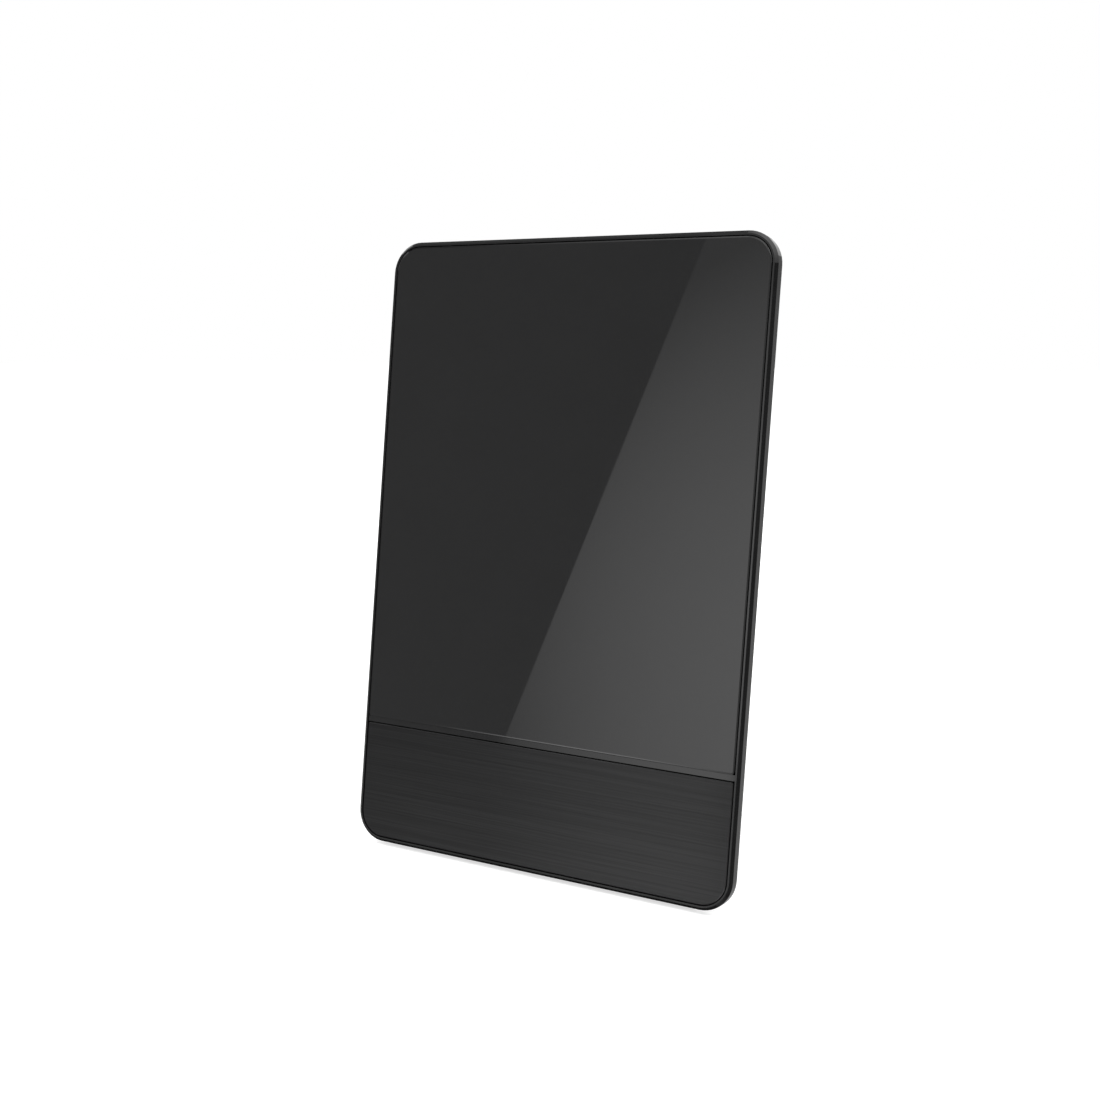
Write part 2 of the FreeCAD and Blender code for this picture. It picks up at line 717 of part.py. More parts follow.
def make_rear_cover():
    """Dished moulding with hooks, foot rail, leg recess, screw bosses, keyholes and socket hole."""
    outer = cover_loft("cover_outer", [
        ("rim_depth", "cover_step", "corner_radius - cover_step"),
        ("shoulder_depth", "flank_run", "shoulder_radius"),
        ("cover_depth", "back_inset", "back_radius"),
    ])
    cavity = cover_loft("cover_cavity", [
        ("rim_depth", "cavity_inset", "corner_radius - cavity_inset"),
        ("cavity_back", "flank_run + cover_wall", "back_radius"),
    ])
    rail = box("foot_rail", "-rail_width / 2", "rail_width / 2", "rim_depth", "recess_floor",
               "foot_drop + cover_step", "foot_drop + rail_rise")
    hooks = hook_blocks("hook", "hook_length", "hook_reach", "hook_front", "hook_front + hook_height")
    blank = fuse("cover_blank", [outer, make_cover_tongue(), rail] + hooks)

    kept = [recess_block("leg_tub", "tub_wall", "recess_floor - cover_wall", "cover_depth")]
    cuts = [recess_block("leg_recess", "0", "recess_floor", "cover_depth + leg_sink")]
    for step, (across, height) in enumerate(SCREW_SPOTS):
        kept.append(rod(f"cover_boss_{step}", "boss_radius", "boss_face", "cover_depth", across, height))
        cuts.append(rod(f"screw_hole_{step}", "screw_radius + screw_clearance", "boss_face", "head_seat",
                        across, height))
        cuts.append(rod(f"counterbore_{step}", "screw_head_radius + screw_clearance", "head_seat",
                        "cover_depth", across, height))
    for step, (side, across, height) in enumerate(REST_SPOTS):
        kept.append(box(f"board_post_{step}", f"{across} - rest_width / 2", f"{across} + rest_width / 2",
                        "board_back", "cover_depth",
                        f"{height} - rest_width / 2", f"{height} + rest_width / 2"))
    for tag, across in (("left_keyhole", "-keyhole_spacing / 2"), ("right_keyhole", "keyhole_spacing / 2")):
        kept.append(upright_slot(tag + "_shroud", "(keyhole_radius + shroud_wall)",
                                 "keyhole_floor - shroud_wall", "cover_depth", across))
        cuts += keyhole_cuts(tag, across)
    hollow = cut("cover_hollow", cavity, fuse("cover_kept", kept))

    cuts.append(axle("pin_hole", "pin_radius + pin_seat_clearance", "leg_width / 2 + leg_gap + tub_wall",
                     "hinge_depth", "hinge_height"))
    cuts.append(box("strip_pocket", "-strip_width / 2", "strip_width / 2", "strip_front", "strip_back",
                    "foot_drop", "strip_top"))
    cuts.append(rod("socket_hole", "thread_radius + socket_clearance", "cavity_back", "cover_depth",
                    "socket_side", "socket_height"))
    shell = cut("cover_shell", blank, hollow)
    lean("rear_cover", cut("rear_cover_cut", shell, fuse("cover_cuts", cuts)))


def make_foot_strip():
    """Rubber strip whose sole lies flat on the table when the slab leans."""
    body = new_body("foot_strip_body")
    sketch = new_sketch(body, "strip_profile", "YZ_Plane")
    polygon(sketch, "strip", [
        ("strip_front", "strip_front * tan(lean_angle)"),
        ("strip_back", "strip_back * tan(lean_angle)"),
        ("strip_back", "strip_top"),
        ("strip_front", "strip_top"),
    ])
    pad_across(body, "strip_pad", sketch, "strip_width")
    lean("foot_strip", body)


def make_housing_screws():
    """Pan-head screws with a cross recess, driven from behind."""
    top = "head_seat + screw_head_height"
    screws = []
    for step, (across, height) in enumerate(SCREW_SPOTS):
        tag = f"screw_{step}"
        head = rod(tag + "_head", "screw_head_radius", "head_seat", top, across, height)
        shank = rod(tag + "_shank", "screw_radius", "boss_face - screw_bite", "head_seat", across, height)
        slots = []
        crossing = (("level", "drive_length", "drive_width"), ("upright", "drive_width", "drive_length"))
        for name, wide, tall in crossing:
            slots.append(box(f"{tag}_{name}", f"{across} - {wide} / 2", f"{across} + {wide} / 2",
                             f"{top} - drive_depth", top, f"{height} - {tall} / 2", f"{height} + {tall} / 2"))
        screws.append(cut(tag, fuse(tag + "_blank", [head, shank]), fuse(tag + "_drive", slots)))
    lean("housing_screws", group("screw_group", screws))


# Easel leg

def make_leg_form():
    """Tapered outline shared by the leg and its rubber tip, with rounded lower corners."""
    block = taper("leg_form", "leg_width", "tip_width", "leg_length", "-leg_swing_depth", "leg_swing_depth",
                  "heel_height")
    doc.recompute()
    rounded = doc.addObject("Part::Fillet", "leg_form_rounded")
    rounded.Base = block
    tip = -size("sole_outer")
    corners = []
    for number, edge in enumerate(block.Shape.Edges, start=1):
        span = edge.BoundBox
        if abs(span.ZMax - tip) < TOLERANCE and span.YLength > size("leg_swing_depth"):
            corners.append((number, size("tip_radius"), size("tip_radius")))
    rounded.Edges = corners
    return rounded


def leg_slab(name, corners):
    """Side profile of a leg piece, as wide as the leg's upper end."""
    body = new_body(name)
    sketch = new_sketch(body, name + "_profile", "YZ_Plane")
    polygon(sketch, "side", corners)
    pad_across(body, name + "_pad", sketch, "leg_width")
    return body


def make_stand():
    """Leg with a bevelled heel that stops it open, and a rubber tip cut level with the table."""
    form = make_leg_form()
    plate = leg_slab("leg_plate", [
        ("barrel_radius", "heel_height"),
        ("(heel_height * sin(open_angle) - barrel_radius) / cos(open_angle)", "heel_height"),
        ("-barrel_radius * cos(open_angle)", "barrel_radius * sin(open_angle)"),
        ("-plate_inner", "-sqrt(barrel_radius ^ 2 - plate_inner ^ 2)"),
        ("-plate_inner", "-tip_top"),
        ("barrel_radius", "-tip_top"),
    ])
    barrel = axle("leg_barrel", "barrel_radius", "leg_width / 2", "0", "0")
    blank = common("leg_blank", fuse("leg_union", [plate, barrel]), form)
    tongue = box("tip_tongue", "leg_wall - tip_width / 2", "tip_width / 2 - leg_wall",
                 "plate_middle - tongue_thickness / 2", "plate_middle + tongue_thickness / 2",
                 "-(tip_top + tongue_reach)", "-tip_top")

    cuts = [axle("leg_bore", "pin_radius + pin_clearance", "leg_width", "0", "0")]
    pocket_top = "2 * barrel_radius + leg_wall"
    pitch = f"(tip_top - ({pocket_top}) - leg_wall + rib_thickness) / {LEG_POCKETS}"
    for step in range(LEG_POCKETS):
        start = f"{pocket_top} + {step} * {pitch}"
        cuts.append(box(f"leg_pocket_{step}", "leg_wall - tip_width / 2", "tip_width / 2 - leg_wall",
                        "-leg_swing_depth", "barrel_radius - leg_skin",
                        f"-({start} + {pitch} - rib_thickness)", f"-({start})"))
    for step in range(GRIP_GROOVES):
        low = f"grip_margin + {step} * grip_pitch - tip_top"
        cuts.append(box(f"grip_groove_{step}", "leg_wall - tip_width / 2", "tip_width / 2 - leg_wall",
                        "barrel_radius - grip_depth", "leg_swing_depth", low, f"{low} + grip_width"))
    hang("stand_leg", cut("stand_leg_cut", fuse("leg_with_tongue", [blank, tongue]), fuse("leg_cuts", cuts)))

    tip = leg_slab("tip_plate", [
        ("barrel_radius", "-tip_top"),
        ("-plate_inner", "-tip_top"),
        ("-plate_inner", "-sole_inner"),
        ("barrel_radius", "-sole_outer"),
    ])
    hang("stand_foot_pad", cut("foot_pad_cut", common("tip_blank", tip, form), tongue))


def make_hinge_pin():
    body = new_body("hinge_pin_body")
    sketch = new_sketch(body, "pin_circle", "YZ_Plane")
    circle(sketch, "pin", "hinge_depth", "hinge_height", "pin_radius")
    pad_across(body, "pin_pad", sketch, "leg_width + 2 * (leg_gap + tub_wall)")
    lean("stand_hinge_pin", body)


# Circuit board

def make_antenna_board():
    body = new_body("antenna_board_body")
    sketch = front_sketch(body, "board_outline", "board_front")
    outline(sketch, "board", "2 * board_half", "board_low", "board_high", "board_radius", "board_radius")
    pad(body, "board_pad", sketch, "board_thickness")
    lean("antenna_board", body)


def copper(name, left, right, low, high):
    return box(name, left, right, "board_back", "copper_back", low, high)


def make_copper():
    """Bow tie for the upper band, two folded arms for the lower band, and the feed to the socket."""
    wings = []
    arms = []
    for side, tag in zip(SIDES, ("left", "right")):
        wing = taper(tag + "_wing", "uhf_neck", "uhf_height", "copper_half - uhf_feed_gap / 2",
                     "board_back", "copper_back", "uhf_middle", f"{side} * uhf_feed_gap / 2")
        wing.Placement.Rotation = Rotation(Vector(0, 1, 0), -90 * side) * wing.Placement.Rotation
        leads = sorted((f"{side} * uhf_feed_gap / 2", f"{side} * (uhf_feed_gap / 2 + feed_width)"), key=size)
        lead = copper(tag + "_lead", leads[0], leads[1], "balun_high", "uhf_middle")
        wings.append(fuse(tag + "_wing_and_lead", [wing, lead]))
        outer = sorted((f"{side} * copper_half", f"{side} * (copper_half - vhf_width)"), key=size)
        inner = sorted((f"{side} * copper_half", f"{side} * (copper_half - vhf_turn)"), key=size)
        low = "uhf_low - vhf_drop"
        upright = copper(tag + "_upright", outer[0], outer[1], low, "uhf_low - vhf_width")
        turn = copper(tag + "_turn", inner[0], inner[1], low, f"{low} + vhf_width")
        arms.append(fuse(tag + "_arm", [upright, turn]))
    lean("uhf_element", group("wing_group", wings))
    lean("vhf_element", group("arm_group", arms))

    line_low = "socket_height - feed_width / 2"
    line_high = "balun_middle + feed_width / 2"
    runs = [
        copper("feed_foot", "feed_side", "socket_side + feed_width", line_low, f"{line_low} + feed_width"),
        copper("feed_rise", "feed_side", "feed_side + feed_width", line_low, line_high),
        copper("feed_head", "balun_length / 2", "feed_side + feed_width",
               f"{line_high} - feed_width", line_high),
    ]
    lean("feed_line", fuse("feed_runs", runs))


def make_balun():
    """Two-hole ferrite core and the winding round the web between its holes."""
    half = "balun_length / 2"
    middle = "copper_back + balun_thickness / 2"
    block = box("balun_block", f"-{half}", half, "copper_back", "copper_back + balun_thickness",
                "balun_low", "balun_low + balun_height")
    holes = []
    wires = []
    for side, tag in zip(SIDES, ("lower", "upper")):
        height = f"balun_middle + {side} * balun_pitch / 2"
        holes.append(axle(f"balun_{tag}_hole", "balun_hole_radius", half, middle, height))
        front = f"{middle} - winding_width / 2"
        back = f"{middle} + winding_width / 2"
        reach = f"{half} + winding_overhang"
        wires.append(box(f"winding_{tag}_wire", f"-({reach})", reach, front, back,
                         f"{height} - winding_width / 2", f"{height} + winding_width / 2"))
        ends = sorted((f"{side} * ({half})", f"{side} * ({reach})"), key=size)
        wires.append(box(f"winding_{tag}_end", ends[0], ends[1], front, back,
                         "balun_middle - balun_pitch / 2", "balun_middle + balun_pitch / 2"))
    lean("balun_core", cut("balun_core_cut", block, fuse("balun_holes", holes)))
    lean("balun_winding", fuse("winding_loop", wires))


def make_chip_capacitors():
    chips = []
    for step in range(CHIPS):
        left = f"-feed_side + {step} * chip_pitch"
        chips.append(box(f"chip_{step}", left, f"{left} + chip_length", "board_back",
                         "board_back + chip_height", "balun_middle", "balun_middle + chip_width"))
    lean("chip_capacitors", group("chip_group", chips))


# Coaxial socket

def socket_rod(name, radius, front, back):
    return rod(name, radius, front, back, "socket_side", "socket_height")


def make_socket():
    """Threaded barrel with a flange inside the cover, its insulator, contact, washer and nut."""
    flange = socket_rod("socket_flange", "flange_radius", "flange_front", "cavity_back")
    root = socket_rod("socket_root", "root_radius", "cavity_back", "nut_back")
    barrel = socket_rod("socket_barrel", "thread_radius", "nut_back", "thread_end - thread_lead")
    lead = doc.addObject("Part::Cone", "socket_lead")
    bind(lead, Radius1="thread_radius", Radius2="thread_radius - thread_lead", Height="thread_lead")
    lead.Placement = Placement(Vector(), Rotation(Vector(1, 0, 0), -90))
    place(lead, "socket_side", "thread_end - thread_lead", "socket_height")
    bore = socket_rod("socket_bore", "socket_bore_radius", "flange_front", "thread_end")
    lean("coax_socket", cut("socket_cut", fuse("socket_blank", [flange, root, barrel, lead]), bore))

    contact_end = "thread_end - contact_sink"
    plug = socket_rod("insulator_plug", "socket_bore_radius", "flange_front", "thread_end - thread_lead")
    passage = socket_rod("insulator_hole", "contact_radius", "flange_front", contact_end)
    mouth = socket_rod("insulator_mouth", "contact_bore_radius", contact_end, "thread_end")
    lean("coax_insulator", cut("insulator_cut", plug, fuse("insulator_holes", [passage, mouth])))

    pin = socket_rod("contact_pin", "contact_radius", "copper_back", contact_end)
    grip_start = f"{contact_end} - contact_bore_depth"
    grip = socket_rod("contact_bore", "contact_bore_radius", grip_start, contact_end)
    lean("coax_contact", cut("contact_cut", pin, grip))

    disc = socket_rod("washer_disc", "washer_radius", "cover_depth", "washer_back")
    hole = socket_rod("washer_hole", "thread_radius + socket_clearance", "cover_depth", "washer_back")
    lean("socket_washer", cut("washer_cut", disc, hole))

    hexagon = doc.addObject("Part::Prism", "nut_hexagon")
    hexagon.Polygon = NUT_SIDES
    bind(hexagon, Circumradius=f"nut_flats / 2 / cos(180 / {NUT_SIDES})", Height="nut_thickness")
    hexagon.Placement = Placement(Vector(), Rotation(Vector(1, 0, 0), -90))
    place(hexagon, "socket_side", "washer_back", "socket_height")
    thread = socket_rod("nut_thread", "root_radius + pin_seat_clearance", "washer_back", "nut_back")
    lean("socket_nut", cut("nut_cut", hexagon, thread))


make_front_bezel()
make_glass_panel()
make_tape("glass_tape", "glass_width", "glass_low", "glass_high", "glass_low_radius",
          "glass_radius - tape_inset", "glass_thickness - glass_proud")
make_divider_strip()
make_brushed_panel()
make_tape("trim_tape", "trim_width", "trim_low", "trim_high", "trim_radius - tape_inset",
          "trim_high_radius", "trim_thickness")
make_rear_cover()
make_housing_screws()
make_foot_strip()
make_stand()
make_hinge_pin()
make_antenna_board()
make_copper()
make_balun()
make_chip_capacitors()
make_socket()
doc.recompute()


# Tests before anything is written

for feature in doc.Objects:
    if "Invalid" in feature.State or "Error" in feature.State:
        raise RuntimeError(f"{feature.Name} failed: {feature.State}")
    if feature.TypeId == "PartDesign::Pocket" and feature.Shape.Volume >= feature.BaseFeature.Shape.Volume:
        raise RuntimeError(f"{feature.Name} cuts nothing")
for label, feature in nodes.items():
    if feature.Shape.isNull() or not feature.Shape.isValid() or not feature.Shape.Solids:
        raise RuntimeError(f"{label} has no valid solid")

os.makedirs(PARTS_FOLDER, exist_ok=True)
for label, feature in nodes.items():
    feature.Shape.exportStep(os.path.join(PARTS_FOLDER, label + ".step"))
    print(f"{label}: {len(feature.Shape.Solids)} solids, {feature.Shape.Volume:.1f} mm3")
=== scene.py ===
import json
import math

import bpy
from mathutils import Matrix, Vector


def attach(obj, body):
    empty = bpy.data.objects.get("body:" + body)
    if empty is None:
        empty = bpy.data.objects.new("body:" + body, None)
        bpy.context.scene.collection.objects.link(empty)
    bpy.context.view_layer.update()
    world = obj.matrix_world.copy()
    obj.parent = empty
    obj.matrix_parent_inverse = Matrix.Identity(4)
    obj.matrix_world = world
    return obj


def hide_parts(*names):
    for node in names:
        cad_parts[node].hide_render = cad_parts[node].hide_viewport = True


# Indoor TV antenna: the finishes of the slab, its rear cover and its easel leg, the turned and threaded
# pieces of its socket, and a plain studio round it. Lengths are in metres, in the model's own frame.

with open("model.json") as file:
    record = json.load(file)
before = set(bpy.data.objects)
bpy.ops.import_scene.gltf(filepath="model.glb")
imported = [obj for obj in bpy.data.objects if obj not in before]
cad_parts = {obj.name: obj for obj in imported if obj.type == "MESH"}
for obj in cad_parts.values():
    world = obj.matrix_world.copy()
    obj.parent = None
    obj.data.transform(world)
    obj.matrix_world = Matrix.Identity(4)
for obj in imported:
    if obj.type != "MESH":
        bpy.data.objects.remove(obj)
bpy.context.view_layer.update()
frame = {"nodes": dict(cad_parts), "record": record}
NODES = frame["nodes"]
MOUNTS = {mount["name"]: mount for mount in frame["record"]["mounts"]}
MILLIMETRE = 0.001

# Axes of the leaning slab. Its own coordinates are across, up and depth behind the front lip.
ACROSS = Vector((1, 0, 0))
BACK = Vector(MOUNTS["coax_output"]["axis"]).normalized()
UP = ACROSS.cross(BACK)
LIP_DEPTH = min(vertex.co.dot(BACK) for vertex in NODES["front_bezel"].data.vertices)
SLAB_FOOT = Vector((0, LIP_DEPTH / BACK.y, 0))

# Camera, measured from the photograph.
CAMERA_PLACE = Vector((0.26518, -0.46229, 0.21418))
CAMERA_TURN = 29.324
CAMERA_DIP = 8.836
CAMERA_ROLL = 0.035
CAMERA_LENS = 45.533
SENSOR_WIDTH = 36.0

# Two points of the slanting edge that the glass mirrors, across and up the slab.
EDGE_HEAD = (0.0562, 0.2507)
EDGE_FOOT = (-0.0161, 0.0521)

# Part of a noise's range over which tone and gloss run, and the slight blue of the greys.
NOISE_LOW, NOISE_HIGH = 0.3, 0.7
COOL_TINT = 1.02


def slab_point(across, up, depth):
    """World place of a point given in the slab's own coordinates."""
    return SLAB_FOOT + ACROSS * across + UP * up + BACK * depth


def slab_box(node):
    """Lowest and highest across, up and depth of a node in the slab's own coordinates."""
    spots = [vertex.co - SLAB_FOOT for vertex in NODES[node].data.vertices]
    own = [(spot.dot(ACROSS), spot.dot(UP), spot.dot(BACK)) for spot in spots]
    return [min(values) for values in zip(*own)], [max(values) for values in zip(*own)]


# Materials

def new_finish(name, **sockets):
    """Material with one shader, whose constant sockets are set by name."""
    material = bpy.data.materials.new(name)
    material.use_nodes = True
    shader = material.node_tree.nodes["Principled BSDF"]
    for socket, value in sockets.items():
        shader.inputs[socket.replace("_", " ")].default_value = value
    return material, material.node_tree, shader


def add_noise(tree, scales, detail=3.0):
    """Noise in the model's frame, with its scale in features a metre along each axis."""
    octave_roughness = 0.55
    place = tree.nodes.new("ShaderNodeTexCoord")
    mapping = tree.nodes.new("ShaderNodeMapping")
    mapping.inputs["Scale"].default_value = scales
    noise = tree.nodes.new("ShaderNodeTexNoise")
    noise.inputs["Scale"].default_value = 1.0
    noise.inputs["Detail"].default_value = detail
    noise.inputs["Roughness"].default_value = octave_roughness
    tree.links.new(place.outputs["Object"], mapping.inputs["Vector"])
    tree.links.new(mapping.outputs["Vector"], noise.inputs["Vector"])
    return noise.outputs["Fac"]


def even_scale(features):
    """The same scale along all three axes."""
    return (features, features, features)


def vary_colour(tree, shader, source, dark, light):
    """Base colour that runs between two tones with a noise."""
    ramp = tree.nodes.new("ShaderNodeValToRGB")
    low, high = ramp.color_ramp.elements
    low.position = NOISE_LOW
    high.position = NOISE_HIGH
    low.color = (*dark, 1.0)
    high.color = (*light, 1.0)
    tree.links.new(source, ramp.inputs["Fac"])
    tree.links.new(ramp.outputs["Color"], shader.inputs["Base Color"])


def vary_roughness(tree, shader, source, low, high):
    """Roughness that runs between two values with a noise."""
    spread = tree.nodes.new("ShaderNodeMapRange")
    spread.inputs["From Min"].default_value = NOISE_LOW
    spread.inputs["From Max"].default_value = NOISE_HIGH
    spread.inputs["To Min"].default_value = low
    spread.inputs["To Max"].default_value = high
    tree.links.new(source, spread.inputs["Value"])
    tree.links.new(spread.outputs["Result"], shader.inputs["Roughness"])


def add_grain(tree, shader, source, depth):
    """Relief of a given depth, at full strength."""
    bump = tree.nodes.new("ShaderNodeBump")
    bump.inputs["Distance"].default_value = depth
    bump.inputs["Strength"].default_value = 1.0
    tree.links.new(source, bump.inputs["Height"])
    tree.links.new(bump.outputs["Normal"], shader.inputs["Normal"])


def grey(value):
    """Grey with the cool tint."""
    return (value, value, value * COOL_TINT)


def grained_finish(name, dark, light, roughness, patch, grain, depth, **sockets):
    """Finish whose tone and gloss vary in soft patches and whose surface has a fine grain."""
    material, tree, shader = new_finish(name, **sockets)
    patches = add_noise(tree, even_scale(patch))
    vary_colour(tree, shader, patches, dark, light)
    vary_roughness(tree, shader, patches, *roughness)
    add_grain(tree, shader, add_noise(tree, even_scale(grain), detail=1.0), depth)
    return material


def brushed_finish():
    """Black anodised metal brushed across: long hairlines of uneven tone and gloss under a clear film."""
    material, tree, shader = new_finish(
        "brushed_anodised", Metallic=1.0, Coat_Weight=0.36, Coat_Roughness=0.14, Coat_IOR=1.5)
    broad = add_noise(tree, (12, 1500, 1500), detail=3.0)
    fine = add_noise(tree, (28, 3600, 3600), detail=2.0)
    vary_colour(tree, shader, broad, grey(0.0240), grey(0.0368))
    vary_roughness(tree, shader, fine, 0.54, 0.66)
    add_grain(tree, shader, fine, 0.008 * MILLIMETRE)
    return material


def add_step(tree, source, axis, level):
    """One where a vector reaches a level along an axis, else nought."""
    along = tree.nodes.new("ShaderNodeVectorMath")
    along.operation = "DOT_PRODUCT"
    along.inputs[1].default_value = axis
    step = tree.nodes.new("ShaderNodeMath")
    step.operation = "GREATER_THAN"
    step.inputs[1].default_value = level
    tree.links.new(source, along.inputs[0])
    tree.links.new(along.outputs["Value"], step.inputs[0])
    return step.outputs["Value"]


def bezel_finish():
    """Polished black, with its reflection turned down on the pocket floors behind glass and trim as painted
    shade in the gaps round them.
    """
    polished, pocket_shade_level = 0.5, 0.05
    pocket_depth, square_on = 1.0 * MILLIMETRE, 0.9
    material = grained_finish(
        "gloss_black", grey(0.0112), grey(0.0136), (0.045, 0.075), 90, 2600, 0.0001 * MILLIMETRE,
        IOR=1.52)
    tree = material.node_tree
    shader = tree.nodes["Principled BSDF"]
    place = tree.nodes.new("ShaderNodeTexCoord")
    # Painted shade: the forward-facing pocket floors behind the lip get a low specular level, which darkens
    # the gaps round glass and trim.
    behind = add_step(tree, place.outputs["Object"], BACK, LIP_DEPTH + pocket_depth)
    forward = add_step(tree, place.outputs["Normal"], -BACK, square_on)
    floor = tree.nodes.new("ShaderNodeMath")
    floor.operation = "MULTIPLY"
    painted_pocket_shade = tree.nodes.new("ShaderNodeMapRange")
    painted_pocket_shade.inputs["To Min"].default_value = polished
    painted_pocket_shade.inputs["To Max"].default_value = pocket_shade_level
    tree.links.new(behind, floor.inputs[0])
    tree.links.new(forward, floor.inputs[1])
    tree.links.new(floor.outputs["Value"], painted_pocket_shade.inputs["Value"])
    tree.links.new(painted_pocket_shade.outputs["Result"], shader.inputs["Specular IOR Level"])
    return material


# Each finish: name, dark and light tone, range of roughness, patches and grain a metre, depth of the grain
FINISHES = {
    "bezel_gloss": bezel_finish(),
    "dark_glass": grained_finish(
        "black_backed_glass", grey(0.0135), grey(0.0145), (0.012, 0.024), 45, 600, 0.00002 * MILLIMETRE,
        IOR=1.52),
    "brushed_trim": brushed_finish(),
    "tape": grained_finish(
        "foam_tape", grey(0.015), grey(0.025), (0.85, 0.95), 700, 4000, 0.05 * MILLIMETRE),
    "cover_matte": grained_finish(
        "spark_textured_black", grey(0.0180), grey(0.0210), (0.46, 0.58), 500, 1900, 0.07 * MILLIMETRE,
        IOR=1.46),
    "screw_steel": grained_finish(
        "black_zinc_steel", grey(0.10), grey(0.16), (0.28, 0.40), 900, 5000, 0.004 * MILLIMETRE,
        Metallic=1.0),
    "foot_rubber": grained_finish(
        "black_rubber", grey(0.012), grey(0.020), (0.72, 0.86), 300, 3000, 0.03 * MILLIMETRE),
    "board": grained_finish(
        "board_laminate", (0.010, 0.065, 0.026), (0.014, 0.090, 0.036), (0.30, 0.42), 200, 3000,
        0.004 * MILLIMETRE),
    "copper": grained_finish(
        "bare_copper", (0.66, 0.31, 0.17), (0.76, 0.42, 0.26), (0.28, 0.44), 260, 4000, 0.004 * MILLIMETRE,
        Metallic=1.0),
    "ferrite": grained_finish(
        "pressed_ferrite", grey(0.045), grey(0.065), (0.55, 0.70), 900, 5000, 0.02 * MILLIMETRE),
    "ceramic": grained_finish(
        "fired_ceramic", (0.42, 0.30, 0.18), (0.52, 0.39, 0.25), (0.45, 0.60), 1500, 6000,
        0.006 * MILLIMETRE),
    "nickel": grained_finish(
        "nickel_plate", (0.62, 0.60, 0.56), (0.72, 0.70, 0.66), (0.16, 0.28), 700, 5000, 0.003 * MILLIMETRE,
        Metallic=1.0),
    "contact_brass": grained_finish(
        "bright_brass", (0.70, 0.52, 0.22), (0.80, 0.62, 0.30), (0.20, 0.32), 900, 5000, 0.003 * MILLIMETRE,
        Metallic=1.0),
    "insulator": grained_finish(
        "white_insulator", (0.72, 0.71, 0.67), (0.80, 0.79, 0.76), (0.40, 0.52), 800, 4000,
        0.006 * MILLIMETRE),
}
SLOTS = {part["node"]: part["material_slot"] for part in frame["record"]["subparts"]}
for node, piece in NODES.items():
    piece.data.materials.clear()
    piece.data.materials.append(FINISHES[SLOTS[node]])


# Camera

camera = bpy.data.objects.new("camera", bpy.data.cameras.new("camera"))
camera.location = CAMERA_PLACE
camera.rotation_euler = (math.radians(90 - CAMERA_DIP), 0, math.radians(CAMERA_TURN))
camera.rotation_euler.rotate_axis("Z", math.radians(CAMERA_ROLL))
camera.data.lens = CAMERA_LENS
camera.data.sensor_width = SENSOR_WIDTH
bpy.context.scene.collection.objects.link(camera)
bpy.context.scene.camera = camera


# Socket: a barrel with a cut thread, and a nut with chamfered corners

SOCKET_LOW, SOCKET_HIGH = slab_box("coax_socket")
SOCKET_CENTRE = [(SOCKET_LOW[axis] + SOCKET_HIGH[axis]) / 2 for axis in (0, 1)]
THREAD_CREST = MOUNTS["coax_output"]["dims"]["r_mm"] * MILLIMETRE
THREAD_LENGTH = MOUNTS["coax_output"]["dims"]["length_mm"] * MILLIMETRE


def link_piece(name, points, faces, finish, node):
    """Smooth mesh that stands for a node of the slab."""
    sharp_angle = math.radians(28)
    mesh = bpy.data.meshes.new(name)
    mesh.from_pydata(points, [], faces)
    mesh.materials.append(FINISHES[finish])
    mesh.shade_smooth()
    mesh.set_sharp_from_angle(angle=sharp_angle)
    piece = bpy.data.objects.new(name, mesh)
    bpy.context.scene.collection.objects.link(piece)
    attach(piece, "panel")
    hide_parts(node)


def ring_mesh(rings):
    """Points and faces of a closed band of rings, each with as many points."""
    count = len(rings[0])
    faces = []
    for row in range(len(rings)):
        after = (row + 1) % len(rings)
        for step in range(count):
            beside = (step + 1) % count
            faces.append((row * count + step, row * count + beside,
                          after * count + beside, after * count + step))
    return [point for ring in rings for point in ring], faces


def turned_ring(depth, radius, segments):
    """Points round the socket's axis, with depth and radius a number or a function of the angle."""
    ring = []
    for step in range(segments):
        angle = 2 * math.pi * step / segments
        reach = radius(angle) if callable(radius) else radius
        behind = depth(angle) if callable(depth) else depth
        ring.append(slab_point(SOCKET_CENTRE[0] + reach * math.cos(angle),
                               SOCKET_CENTRE[1] + reach * math.sin(angle), behind))
    return ring


def make_barrel():
    """Flange, plain root and threaded barrel round the bore, with a 45 degree lead on the thread."""
    segments = 72
    inch, threads_an_inch = 25.4 * MILLIMETRE, 32
    pitch = inch / threads_an_inch
    steps_a_turn = 10
    flank_slope, root_flat = 2.5, 0.125
    root = 4.36 * MILLIMETRE
    flange_length = 2.0 * MILLIMETRE
    bore = (slab_box("coax_insulator")[1][0] - slab_box("coax_insulator")[0][0]) / 2
    flange = (SOCKET_HIGH[0] - SOCKET_LOW[0]) / 2
    front, end = SOCKET_LOW[2], SOCKET_HIGH[2]
    nut_low, nut_high = slab_box("socket_nut")
    thread_start = nut_low[2]
    lead_start = nut_high[2] + THREAD_LENGTH

    def thread_radius(depth):
        limit = THREAD_CREST - max(0.0, depth - lead_start)

        def at_angle(angle):
            share = (depth / pitch - angle / (2 * math.pi)) % 1.0
            ridge = min(1.0, max(0.0, flank_slope * (0.5 - abs(share - 0.5)) - root_flat))
            return min(limit, root + (THREAD_CREST - root) * ridge)
        return at_angle

    def ring(depth, radius):
        return turned_ring(depth, radius, segments)

    rings = [ring(front, bore), ring(front, flange), ring(front + flange_length, flange),
             ring(front + flange_length, root), ring(thread_start, root)]
    count = round((end - thread_start) / pitch * steps_a_turn)
    for step in range(1, count + 1):
        depth = thread_start + (end - thread_start) * step / count
        rings.append(ring(depth, thread_radius(depth)))
    rings.append(ring(end, bore))
    link_piece("threaded_barrel", *ring_mesh(rings), "nickel", "coax_socket")


